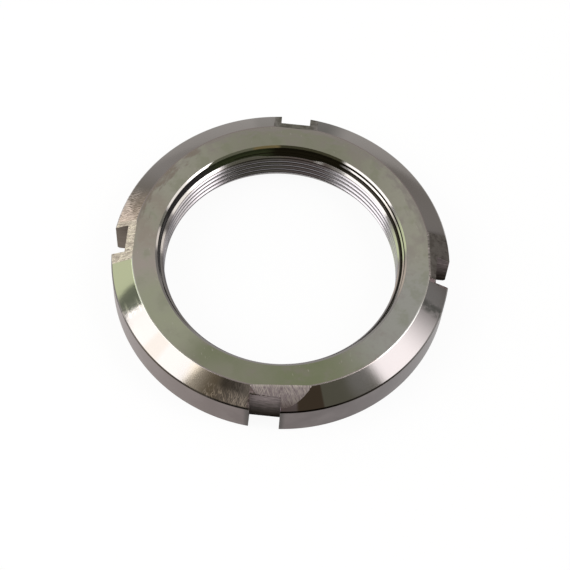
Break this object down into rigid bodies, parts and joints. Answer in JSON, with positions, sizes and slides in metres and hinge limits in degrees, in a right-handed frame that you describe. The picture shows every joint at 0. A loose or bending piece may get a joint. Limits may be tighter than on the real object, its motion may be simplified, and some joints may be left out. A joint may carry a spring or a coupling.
{
  "type": "bearing lock nut",
  "caption": "Flat round steel lock nut with a fine threaded bore, spanner slots across its rim and a wide chamfer on the bearing side.",
  "frame": {"origin": "centre of the bore in the plane of the plain back face, on which the nut lies", "axes": "+Z along the bore axis towards the chamfered bearing face; +X and +Y through the middles of two spanner slots"},
  "size_m": [0.0698, 0.0698, 0.011],
  "materials": {
    "turned_steel": "turned, satin faces and a polished chamfer"
  },
  "bodies": {
    "root": {"lock_nut": "turned_steel"}
  },
  "joints": []
}
